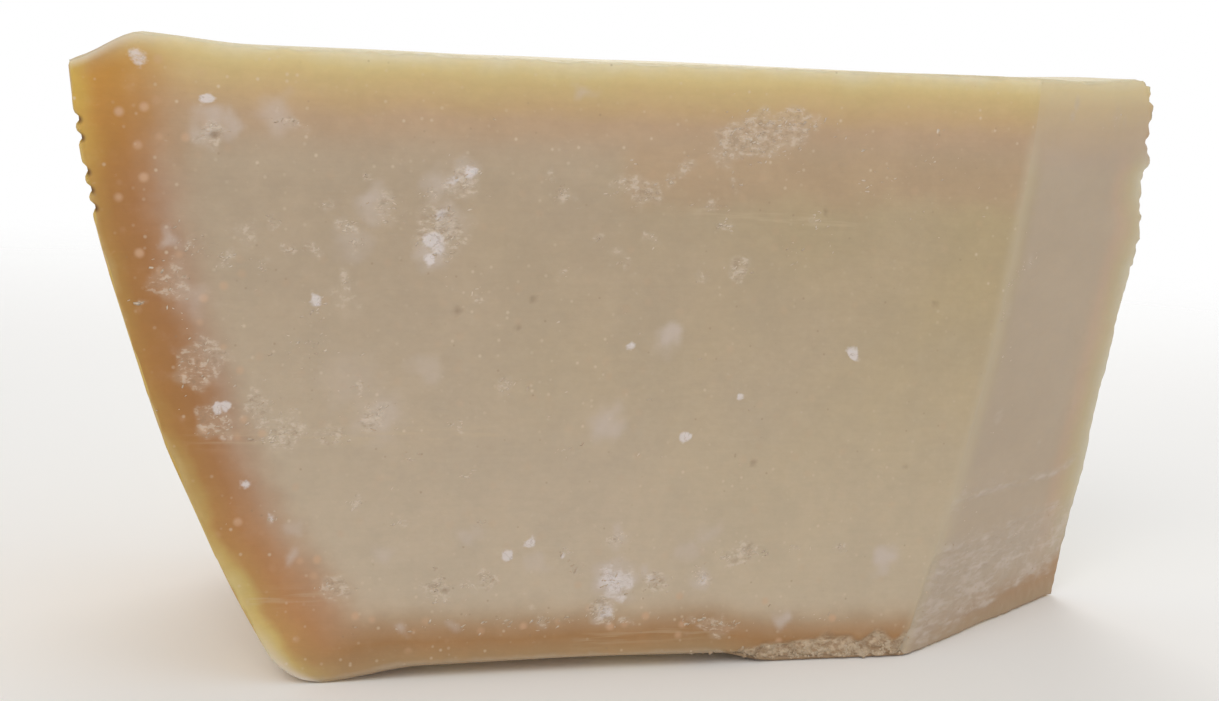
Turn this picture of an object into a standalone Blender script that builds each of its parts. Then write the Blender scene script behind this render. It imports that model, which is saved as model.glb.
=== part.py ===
"""A chunk of aged Parmesan, cut as a wedge from the lower half of a wheel.

Metres, +Z up. The chunk stands on the wheel's flat rind. Its broad cut face looks along -Y,
the bulging heel rind is at -X and a narrow broken end closes the tip side at +X.
The origin is at the bottom centre of the chunk's bounding box.
"""

import math

import bmesh
import bpy
from mathutils import Vector, noise

# Driving dimensions, in metres, in the plan frame of the broad cut: u runs along its foot
# from the heel to the tip side, v runs into the chunk, and z is up.
CHUNK_HEIGHT = 0.090
WHEEL_AXIS_U = 0.179
WEDGE_ANGLE = math.radians(20.0)
ORIGIN_U = 0.0566
ORIGIN_V = 0.0357

# The heel bulges: its front edge stands at u = foot - lean * z + curve * z * z.
HEEL_FOOT_U = -0.0023
HEEL_LEAN = 0.561
HEEL_CURVE = 2.64
RIM_ROUNDING = 0.0045

# The ridge between the broad cut and the broken end follows the same kind of curve.
RIDGE_FOOT_U = 0.0931
RIDGE_LEAN = 0.293
RIDGE_CURVE = -1.38

# The far edge of the broken end.
FAR_FOOT_U = 0.1350
FAR_LEAN = 0.155
FAR_V = 0.0278

# How far the crumbled far edge is pulled in towards the ridge, as (height, pull).
CRUMBLED_EDGE = [
    (0.0608, 0.0000),
    (0.0668, 0.0004),
    (0.0695, 0.0029),
    (0.0722, 0.0045),
    (0.0748, 0.0054),
    (0.0773, 0.0042),
    (0.0799, 0.0059),
    (0.0850, 0.0073),
    (0.0875, 0.0092),
    (0.0905, 0.0140),
]
CRUMBLED_REACH = 0.12

# The upper corner of the heel is worn off, and the upper cut dips slightly behind it, most
# steeply near the heel.
CHIP_LENGTH = 0.0092
CHIP_DROP = 0.0040
DIP = 0.00115
DIP_START_U = -0.0254
DIP_DEEPEST_U = -0.0054
DIP_END_U = 0.1086

# Beyond the ridge the upper cut rises a little.
TIP_RISE = 0.0010
TIP_START_U = 0.118
TIP_END_U = 0.142

# The foot of the broad cut arches up a little between the rim and the crumbled stretch.
ARCH_START_U = 0.0015
ARCH_FULL_U = 0.0175
ARCH_FALL_U = 0.060
ARCH_END_U = 0.072
ARCH_RISE = 0.0020
ARCH_DEPTH = 0.020

# The crumbled stretch along the foot of the broad cut.
CRUMB_START_U = 0.062
CRUMB_END_U = 0.106
CRUMB_HEIGHT = 0.0050
CRUMB_RELIEF = 0.0011
CRUMB_SIZE = 0.0030

# Pin marks pressed into the heel: plain blocks of dots, in bands of (lowest row, rows, shift).
PIN_PITCH_Z = 0.00233
PIN_PITCH_ARC = 0.0026
PIN_RADIUS = 0.00085
PIN_DEPTH = 0.0009
PIN_BANDS = [(0.0759, 2, 0.0002), (0.0668, 3, 0.0002), (0.0437, 6, 0.0040), (0.0206, 6, 0.0034)]
MARKED_COLUMNS = 5
BLOCK_COLUMNS = 7

# Relief of the surfaces.
CUT_WAVE = 0.00035
CUT_WAVE_SIZE = 0.028
HEEL_WAVE = 0.0003
HEEL_WAVE_SIZE = 0.015
GRAIN_SIZE = 0.0034
GRAIN_RELIEF = 0.0009
SMOOTHER_END_START = 0.020
SMOOTHER_END_FULL = 0.050
BACK_RELIEF = 0.0007
BACK_CRAG_SIZE = 0.016
BACK_GRAIN_SIZE = 0.0055
EDGE_WEAR = 0.0006
EDGE_WEAR_SIZE = 0.004

# Two cracks run level across the broken end.
CRACK_HEIGHTS = (0.0248, 0.0174)
CRACK_WANDER = 0.0014
CRACK_WANDER_SIZE = 0.010
CRACK_WIDTH = 0.0009
CRACK_DEPTH = 0.0007

# Patches of the broad cut where the paste has torn into flakes, as (u, z, radius).
TORN_PATCHES = [
    (0.0195, 0.0722, 0.0070),
    (0.0175, 0.0642, 0.0070),
    (0.0612, 0.0802, 0.0095),
    (0.0465, 0.0732, 0.0055),
    (-0.0110, 0.0407, 0.0055),
    (-0.0134, 0.0472, 0.0050),
    (-0.0050, 0.0432, 0.0050),
    (0.0104, 0.0398, 0.0045),
    (-0.0134, 0.0797, 0.0050),
    (-0.0039, 0.0799, 0.0055),
    (0.0455, 0.0137, 0.0070),
    (0.0193, 0.0139, 0.0045),
]
TORN_RELIEF = 0.0007
TORN_SIZE = 0.0042

# The block is shaped with this many cells along, across and up, then thinned out.
CELLS_ALONG = 132
CELLS_ACROSS = 66
CELLS_UP = 104
KEPT_FACES = 0.078
FLATTENED_BELOW = 0.0002

CHEESE_COLOUR = (0.56, 0.43, 0.27, 1.0)
CHEESE_ROUGHNESS = 0.55


def clear_scene():
    for old in list(bpy.data.objects):
        bpy.data.objects.remove(old)


def smooth_step(low, high, value):
    t = min(1.0, max(0.0, (value - low) / (high - low)))
    return t * t * (3.0 - 2.0 * t)


def bump(start, end, value):
    """A smooth hill from start to end, 1 in its middle."""
    t = min(1.0, max(0.0, (value - start) / (end - start)))
    return math.sin(math.pi * t) ** 1.3 if 0.0 < t < 1.0 else 0.0


def between(table, value):
    """Reads a value from (position, value) pairs, with straight runs between them."""
    if value <= table[0][0]:
        return table[0][1]
    for (low, first), (high, last) in zip(table, table[1:]):
        if value <= high:
            return first + (last - first) * (value - low) / (high - low)
    return table[-1][1]


def heel_radius(z):
    """The wheel's radius at a height, with its lower rim rounded."""
    edge_u = HEEL_FOOT_U - HEEL_LEAN * z + HEEL_CURVE * z * z
    radius = WHEEL_AXIS_U - edge_u
    if z < RIM_ROUNDING:
        away = RIM_ROUNDING - z
        radius -= RIM_ROUNDING - math.sqrt(RIM_ROUNDING**2 - away**2)
    return radius


def heel_point(across, z):
    radius, angle = heel_radius(z), WEDGE_ANGLE * across
    return Vector((WHEEL_AXIS_U - radius * math.cos(angle), radius * math.sin(angle)))


def end_point(across, z):
    """A point of the broken end, between the ridge and its far edge."""
    ridge = Vector((RIDGE_FOOT_U + RIDGE_LEAN * z + RIDGE_CURVE * z * z, 0.0))
    far = Vector((FAR_FOOT_U + FAR_LEAN * z, FAR_V))
    return ridge.lerp(far, across)


def crumbled_away(along, across, z):
    """How a point near the far edge is moved where that edge has crumbled."""
    inwards = (end_point(0.0, z) - end_point(1.0, z)).normalized()
    nearness = smooth_step(1.0 - CRUMBLED_REACH, 1.0, along) * across**1.5
    return inwards * between(CRUMBLED_EDGE, z) * nearness


def top_height(u, v):
    """The upper cut, with the heel's worn corner, a slight dip and a slight rise at the tip."""
    dip = DIP * smooth_step(DIP_START_U, DIP_DEEPEST_U, u)
    dip *= 1.0 - smooth_step(DIP_DEEPEST_U, DIP_END_U, u)
    inwards = heel_radius(CHUNK_HEIGHT) - math.hypot(WHEEL_AXIS_U - u, v)
    missing = 1.0 - smooth_step(0.0, CHIP_LENGTH, inwards)
    missing = 0.7 * missing + 0.3 * max(0.0, 1.0 - inwards / CHIP_LENGTH)
    rise = TIP_RISE * smooth_step(TIP_START_U, TIP_END_U, u)
    return CHUNK_HEIGHT + rise - dip - CHIP_DROP * min(1.0, missing)


def foot_height(u, v):
    """The flat rind that the chunk stands on, arched up along the foot of the cut."""
    along = smooth_step(ARCH_START_U, ARCH_FULL_U, u) - smooth_step(ARCH_FALL_U, ARCH_END_U, u)
    return ARCH_RISE * along * (1.0 - smooth_step(0.0, ARCH_DEPTH, v))


def chunk_point(along, across, up):
    """Carries a point of the unit block to the chunk."""
    z = up * CHUNK_HEIGHT
    plan = heel_point(across, z).lerp(end_point(across, z), along)
    plan += crumbled_away(along, across, z)
    low, high = foot_height(*plan), top_height(*plan)
    return Vector((plan.x, plan.y, low + (high - low) * up))


def ridged(point, size, seed):
    """Sharp-crested noise from 0 to 1, as torn paste has."""
    place = point / size + Vector((seed, 0.0, -seed))
    return 1.0 - min(1.0, 2.2 * abs(noise.noise(place)))


def grains(point, size, seed):
    """Rounded grains from 0 at their joints to about 1 at their middles."""
    place = point / size + Vector((0.0, seed, seed))
    distances, _ = noise.voronoi(place)
    return min(1.0, distances[1] - distances[0])


def pin_mark(arc, z):
    """How deep a pin mark is at a place on the heel, from 0 to 1."""
    deepest = 0.0
    for foot, rows, shift in PIN_BANDS:
        row = round((z - foot) / PIN_PITCH_Z)
        column = round((arc - shift) / PIN_PITCH_ARC)
        if not 0 <= row < rows or column % BLOCK_COLUMNS >= MARKED_COLUMNS:
            continue
        away = math.hypot(z - foot - row * PIN_PITCH_Z, arc - shift - column * PIN_PITCH_ARC)
        deepest = max(deepest, 1.0 - smooth_step(0.25 * PIN_RADIUS, 1.25 * PIN_RADIUS, away))
    return deepest


def torn(u, z):
    """How torn the broad cut is at a place, from 0 to 1."""
    most = 0.0
    for patch_u, patch_z, radius in TORN_PATCHES:
        away = math.hypot(u - patch_u, z - patch_z) / radius
        most = max(most, 1.0 - smooth_step(0.35, 1.0, away))
    return most


def front_relief(point):
    wave = CUT_WAVE * noise.noise(point / CUT_WAVE_SIZE)
    flakes = torn(point.x, point.z) * TORN_RELIEF * (ridged(point, TORN_SIZE, 3.0) - 0.5)
    crumbled = min(1.0, 2.0 * bump(CRUMB_START_U, CRUMB_END_U, point.x))
    crumbled *= 1.0 - smooth_step(0.5 * CRUMB_HEIGHT, CRUMB_HEIGHT, point.z)
    crumbs = crumbled * CRUMB_RELIEF * (grains(point, CRUMB_SIZE, 5.0) - 0.75)
    return wave + flakes + crumbs


def end_relief(point):
    coarser = 1.0 - 0.65 * smooth_step(SMOOTHER_END_START, SMOOTHER_END_FULL, point.z)
    coarse = GRAIN_RELIEF * coarser * (grains(point, GRAIN_SIZE, 1.0) - 0.45)
    wander = CRACK_WANDER * noise.noise(point / CRACK_WANDER_SIZE)
    away = min(abs(point.z - height - wander) for height in CRACK_HEIGHTS)
    crack = math.exp(-((away / CRACK_WIDTH) ** 2))
    return coarse + CUT_WAVE * noise.noise(point / HEEL_WAVE_SIZE) - CRACK_DEPTH * crack


def back_relief(point):
    crags = BACK_RELIEF * (ridged(point, BACK_CRAG_SIZE, 7.0) - 0.5)
    return crags + 0.4 * BACK_RELIEF * (ridged(point, BACK_GRAIN_SIZE, 8.0) - 0.5)


def heel_relief(point, across):
    arc = across * WEDGE_ANGLE * heel_radius(point.z)
    return HEEL_WAVE * noise.noise(point / HEEL_WAVE_SIZE) - PIN_DEPTH * pin_mark(arc, point.z)


def relief(point, along, across, up):
    """How far a point of the surface stands out, read from the faces that it lies on."""
    found = []
    if across == 0.0:
        found.append(front_relief(point))
    if across == 1.0:
        found.append(back_relief(point))
    if along == 0.0:
        found.append(heel_relief(point, across))
    if along == 1.0:
        found.append(end_relief(point))
    if up == 1.0:
        found.append(CUT_WAVE * noise.noise(point / CUT_WAVE_SIZE))
    stands_out = min(found, default=0.0)
    if len(found) > 1:
        stands_out -= EDGE_WEAR * (0.35 + abs(noise.noise(point / EDGE_WEAR_SIZE)))
    return stands_out


def make_block():
    """A unit cube whose faces are grids of cells."""
    block = bmesh.new()
    bmesh.ops.create_cube(block, size=1.0)
    bmesh.ops.translate(block, verts=block.verts, vec=(0.5, 0.5, 0.5))
    for axis, cells in enumerate((CELLS_ALONG, CELLS_ACROSS, CELLS_UP)):
        edges = [
            edge
            for edge in block.edges
            if abs((edge.verts[0].co - edge.verts[1].co).normalized()[axis]) > 0.99
        ]
        bmesh.ops.subdivide_edges(block, edges=edges, cuts=cells - 1, use_grid_fill=True)
    return block


def shape_block(block):
    """Carries the block's vertices to the chunk, then raises the relief along its normals."""
    places = {vertex: tuple(round(value, 6) for value in vertex.co) for vertex in block.verts}
    for vertex, place in places.items():
        vertex.co = chunk_point(*place)
    block.normal_update()
    moved = {}
    for vertex, place in places.items():
        moved[vertex] = vertex.co + vertex.normal * relief(vertex.co, *place)
    origin = Vector((ORIGIN_U, ORIGIN_V, 0.0))
    for vertex, point in moved.items():
        vertex.co = point - origin
        vertex.co.z = max(0.0, vertex.co.z)


def cheese_material():
    material = bpy.data.materials.new("aged_cheese")
    material.use_nodes = True
    shader = material.node_tree.nodes["Principled BSDF"]
    shader.inputs["Base Color"].default_value = CHEESE_COLOUR
    shader.inputs["Roughness"].default_value = CHEESE_ROUGHNESS
    shader.inputs["Metallic"].default_value = 0.0
    material.diffuse_color = CHEESE_COLOUR
    return material


def thin_out(chunk):
    """Leaves out most faces, then makes the foot plane again so that the chunk stands firmly."""
    thinning = chunk.modifiers.new("Thinning", "DECIMATE")
    thinning.ratio = KEPT_FACES
    evaluated = chunk.evaluated_get(bpy.context.evaluated_depsgraph_get())
    mesh = bpy.data.meshes.new_from_object(evaluated)
    for vertex in mesh.vertices:
        if vertex.co.z < FLATTENED_BELOW:
            vertex.co.z = 0.0
    chunk.modifiers.remove(thinning)
    chunk.data = mesh


def make_chunk():
    block = make_block()
    shape_block(block)
    mesh = bpy.data.meshes.new("parmesan_chunk")
    block.to_mesh(mesh)
    block.free()
    mesh.materials.append(cheese_material())
    chunk = bpy.data.objects.new("parmesan_chunk", mesh)
    parts = bpy.data.collections.new("parmesan")
    bpy.context.scene.collection.children.link(parts)
    parts.objects.link(chunk)
    thin_out(chunk)
    chunk.data.shade_smooth()
    chunk.data.set_sharp_from_angle(angle=math.radians(35.0))
    return chunk


clear_scene()
make_chunk()
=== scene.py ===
import math
import random

import bmesh
import bpy
from mathutils import Euler, Matrix, Vector, noise
from mathutils.bvhtree import BVHTree


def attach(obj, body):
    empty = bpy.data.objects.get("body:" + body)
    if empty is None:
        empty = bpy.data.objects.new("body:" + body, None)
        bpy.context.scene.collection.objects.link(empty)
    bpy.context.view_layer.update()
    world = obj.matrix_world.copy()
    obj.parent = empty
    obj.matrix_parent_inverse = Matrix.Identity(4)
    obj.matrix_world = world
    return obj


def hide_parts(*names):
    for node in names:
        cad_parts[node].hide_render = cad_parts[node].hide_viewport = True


# A chunk of aged cheese on its flat rind, dressed over the solid that the frame holds.
# Lengths are metres. In the plan of the broad cut, u runs along its foot from the heel
# and v runs into the cheese.

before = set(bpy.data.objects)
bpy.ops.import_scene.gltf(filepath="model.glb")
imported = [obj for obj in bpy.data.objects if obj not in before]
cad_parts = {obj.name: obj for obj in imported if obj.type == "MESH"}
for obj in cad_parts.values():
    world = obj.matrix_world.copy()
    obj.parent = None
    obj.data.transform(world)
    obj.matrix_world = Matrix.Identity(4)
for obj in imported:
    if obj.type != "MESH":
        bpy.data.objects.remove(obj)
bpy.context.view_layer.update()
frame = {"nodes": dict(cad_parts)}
print("frame loaded with", ", ".join(frame["nodes"]))


# Small helpers for shapes

def smoothStep(low, high, value):
    t = min(1.0, max(0.0, (value - low) / (high - low)))
    return t * t * (3.0 - 2.0 * t)


def hill(start, end, value):  # a smooth hill, 1 in its middle
    t = min(1.0, max(0.0, (value - start) / (end - start)))
    return math.sin(math.pi * t) ** 1.3 if 0.0 < t < 1.0 else 0.0


def between(table, value):  # reads (position, value) pairs
    if value <= table[0][0]:
        return table[0][1]
    for (low, first), (high, last) in zip(table, table[1:]):
        if value <= high:
            return first + (last - first) * (value - low) / (high - low)
    return table[-1][1]


def ridged(point, size, seed):  # sharp crests, from 0 to 1
    place = point / size + Vector((seed, 0.0, -seed))
    return 1.0 - min(1.0, 2.2 * abs(noise.noise(place)))


def grains(point, size, seed):  # 0 at the joints, about 1 in the middle
    distances, corners = noise.voronoi(point / size + Vector((0.0, seed, seed)))
    return min(1.0, distances[1] - distances[0])


def clouded(point, size, octaves):  # layered noise, about -1 to 1
    return noise.fractal(point / size, 0.8, 2.1, octaves)


def spotsAt(spots, u, z, core):  # the strongest of (u, z, radius, strength) here
    most = 0.0
    for spotU, spotZ, radius, strength in spots:
        if abs(u - spotU) < radius and abs(z - spotZ) < radius:
            away = math.hypot(u - spotU, z - spotZ) / radius
            most = max(most, strength * (1.0 - smoothStep(core, 1.0, away)))
    return most


# The chunk

chunk = {
    "height": 0.090,
    "wheelAxisU": 0.179,
    "wedgeAngle": math.radians(20.0),
    "originU": 0.0566,
    "originV": 0.0357,
    # the heel stands at u = foot - lean * z + curve * z * z, and so does the ridge
    "heel": (-0.0023, -0.561, 2.64),
    "ridge": (0.0931, 0.293, -1.38),
    "far": (0.1350, 0.155),
    "farV": 0.0278,
    "rimRounding": 0.0045,
    # where the far edge has crumbled, as (height, how far it is pulled in)
    "crumbledEdge": [
        (0.0480, 0.0010), (0.0540, 0.0006), (0.0608, 0.0000), (0.0640, 0.0003), (0.0662, 0.0012),
        (0.0688, 0.0031), (0.0704, 0.0043), (0.0730, 0.0052), (0.0744, 0.0053), (0.0752, 0.0042),
        (0.0766, 0.0041), (0.0781, 0.0050), (0.0797, 0.0067), (0.0822, 0.0066), (0.0837, 0.0070),
        (0.0857, 0.0082), (0.0877, 0.0103), (0.0905, 0.0142),
    ],
    "crumbledReach": 0.12,
    "chip": {"length": 0.0092, "drop": 0.0040},  # the heel's worn upper corner
    "dip": {"startU": -0.0254, "deepestU": -0.0054, "endU": 0.1086, "drop": 0.00115},
    "tip": {"startU": 0.118, "endU": 0.142, "rise": 0.0010},
    "arch": {"startU": 0.0015, "fullU": 0.0175, "fallU": 0.060, "endU": 0.072,
             "rise": 0.0020, "depth": 0.020},
    "cutLength": 0.140, "endWidth": 0.049,  # roughly, from edge to edge
    "endOutwards": (0.55, -0.83, 0.0),
    "cells": (120, 44, 90),  # along, across and up
}


def curveU(terms, z):
    return sum(term * z ** power for power, term in enumerate(terms))


def heelRadius(z):
    radius = chunk["wheelAxisU"] - curveU(chunk["heel"], z)
    rounding = chunk["rimRounding"]
    if z < rounding:
        radius -= rounding - math.sqrt(rounding ** 2 - (rounding - z) ** 2)
    return radius


def heelPoint(across, z):
    radius, angle = heelRadius(z), chunk["wedgeAngle"] * across
    return Vector((chunk["wheelAxisU"] - radius * math.cos(angle), radius * math.sin(angle)))


def endPoint(across, z):
    near = Vector((curveU(chunk["ridge"], z), 0.0))
    return near.lerp(Vector((curveU(chunk["far"], z), chunk["farV"])), across)


def crumbledAway(along, across, z):
    inwards = (endPoint(0.0, z) - endPoint(1.0, z)).normalized()
    nearness = smoothStep(1.0 - chunk["crumbledReach"], 1.0, along) * across ** 1.5
    return inwards * between(chunk["crumbledEdge"], z) * nearness


def topHeight(u, v):
    chip, dip, tip = chunk["chip"], chunk["dip"], chunk["tip"]
    sag = dip["drop"] * smoothStep(dip["startU"], dip["deepestU"], u)
    sag *= 1.0 - smoothStep(dip["deepestU"], dip["endU"], u)
    inwards = heelRadius(chunk["height"]) - math.hypot(chunk["wheelAxisU"] - u, v)
    missing = 0.7 * (1.0 - smoothStep(0.0, chip["length"], inwards))
    missing += 0.3 * max(0.0, 1.0 - inwards / chip["length"])
    rise = tip["rise"] * smoothStep(tip["startU"], tip["endU"], u)
    return chunk["height"] + rise - sag - chip["drop"] * min(1.0, missing)


def footHeight(u, v):
    arch = chunk["arch"]
    along = smoothStep(arch["startU"], arch["fullU"], u) - smoothStep(arch["fallU"], arch["endU"], u)
    return arch["rise"] * along * (1.0 - smoothStep(0.0, arch["depth"], v))


def chunkPoint(along, across, up):
    z = up * chunk["height"]
    plan = heelPoint(across, z).lerp(endPoint(across, z), along) + crumbledAway(along, across, z)
    low, high = footHeight(*plan), topHeight(*plan)
    return Vector((plan.x, plan.y, low + (high - low) * up))


# The camera, placed in the plan of the broad cut, and how it sees the cut

view = {
    "u": -0.02063, "v": -0.23148, "height": 0.0893,
    "turn": math.radians(15.36),  # towards the tip
    "down": math.radians(9.70), "roll": math.radians(3.05),
    "lens": 50.0, "sensor": 36.0,
    "picture": (1219, 701),  # pixels across and down
    "pixelOnCut": 0.000139,
}


def viewTurn():
    look = Euler((math.pi / 2 - view["down"], 0.0, -view["turn"]), "XYZ").to_matrix()
    return look @ Matrix.Rotation(view["roll"], 3, "Z")


def onCut(pixelX, pixelY):  # the u and z where a pixel of the picture meets the broad cut
    wide, high = view["picture"]
    far = wide * view["lens"] / view["sensor"]
    ray = viewTurn() @ Vector((pixelX - wide / 2, high / 2 - pixelY, -far))
    reach = -view["v"] / ray.y
    return view["u"] + reach * ray.x, view["height"] + reach * ray.z


# Small clusters of torn paste, in pixels of the picture: the middle, the half
# width and half height, and the number of flakes

clusters = [
    (370, 177, 5, 3, 4), (325, 206, 4, 3, 3), (275, 220, 7, 5, 8), (347, 227, 6, 7, 14),
    (357, 242, 6, 5, 8), (310, 247, 5, 3, 5), (287, 250, 4, 3, 4), (228, 260, 14, 5, 18),
    (194, 246, 8, 7, 12), (262, 267, 6, 6, 10), (345, 282, 5, 4, 4), (137, 300, 5, 2, 3),
    (432, 192, 8, 4, 8), (562, 192, 5, 5, 10), (550, 178, 4, 4, 4), (600, 242, 4, 4, 5),
    (652, 237, 2, 4, 3), (672, 180, 3, 4, 4), (710, 207, 12, 4, 12), (722, 227, 6, 4, 8),
    (817, 217, 4, 6, 10), (702, 275, 6, 3, 4), (565, 272, 5, 4, 5), (620, 260, 3, 4, 3),
    (480, 294, 8, 3, 5), (735, 185, 7, 1, 4), (300, 352, 30, 14, 26), (360, 385, 6, 6, 8),
    (505, 385, 12, 8, 18), (270, 440, 12, 3, 10), (330, 441, 10, 3, 9), (355, 505, 12, 4, 12),
    (270, 520, 6, 6, 9), (482, 522, 5, 4, 6), (400, 522, 5, 4, 4), (465, 587, 6, 3, 8),
    (487, 581, 5, 7, 12), (457, 427, 10, 5, 12), (567, 450, 10, 5, 7), (620, 537, 9, 6, 14),
    (565, 552, 5, 4, 8), (578, 571, 7, 5, 10), (437, 588, 7, 8, 18), (600, 612, 9, 5, 14),
    (625, 622, 4, 3, 5), (690, 622, 9, 4, 12), (720, 625, 8, 3, 8), (727, 556, 8, 5, 16),
    (748, 552, 8, 4, 14), (795, 549, 10, 3, 8), (840, 547, 10, 3, 10), (660, 582, 9, 7, 16),
    (700, 576, 8, 7, 14), (470, 475, 8, 6, 6), (410, 460, 8, 5, 6), (800, 245, 30, 20, 16),
    (880, 190, 25, 22, 14), (930, 160, 30, 20, 12), (540, 620, 30, 3, 14), (820, 620, 25, 4, 10),
]
tornRound = {"least": 0.0014, "share": 1.5, "strength": 0.6, "crowded": 0.15}


def tenths(*lengths):  # to a tenth of a millimetre
    return tuple(round(length, 4) for length in lengths)


def isCrowded(pixelX, pixelY, wide, high, count):
    return count / (wide * high) > tornRound["crowded"]


def tornSpot(pixelX, pixelY, wide, high, count):
    radius = tornRound["share"] * math.sqrt(wide * high) * view["pixelOnCut"]
    return tenths(*onCut(pixelX, pixelY), max(tornRound["least"], radius)) + (tornRound["strength"],)


def flakeGroup(pixelX, pixelY, wide, high, count):
    return tenths(*onCut(pixelX, pixelY), wide * view["pixelOnCut"], high * view["pixelOnCut"]) + (count,)


# What marks the broad cut, as (u, z, radius, strength)

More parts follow.
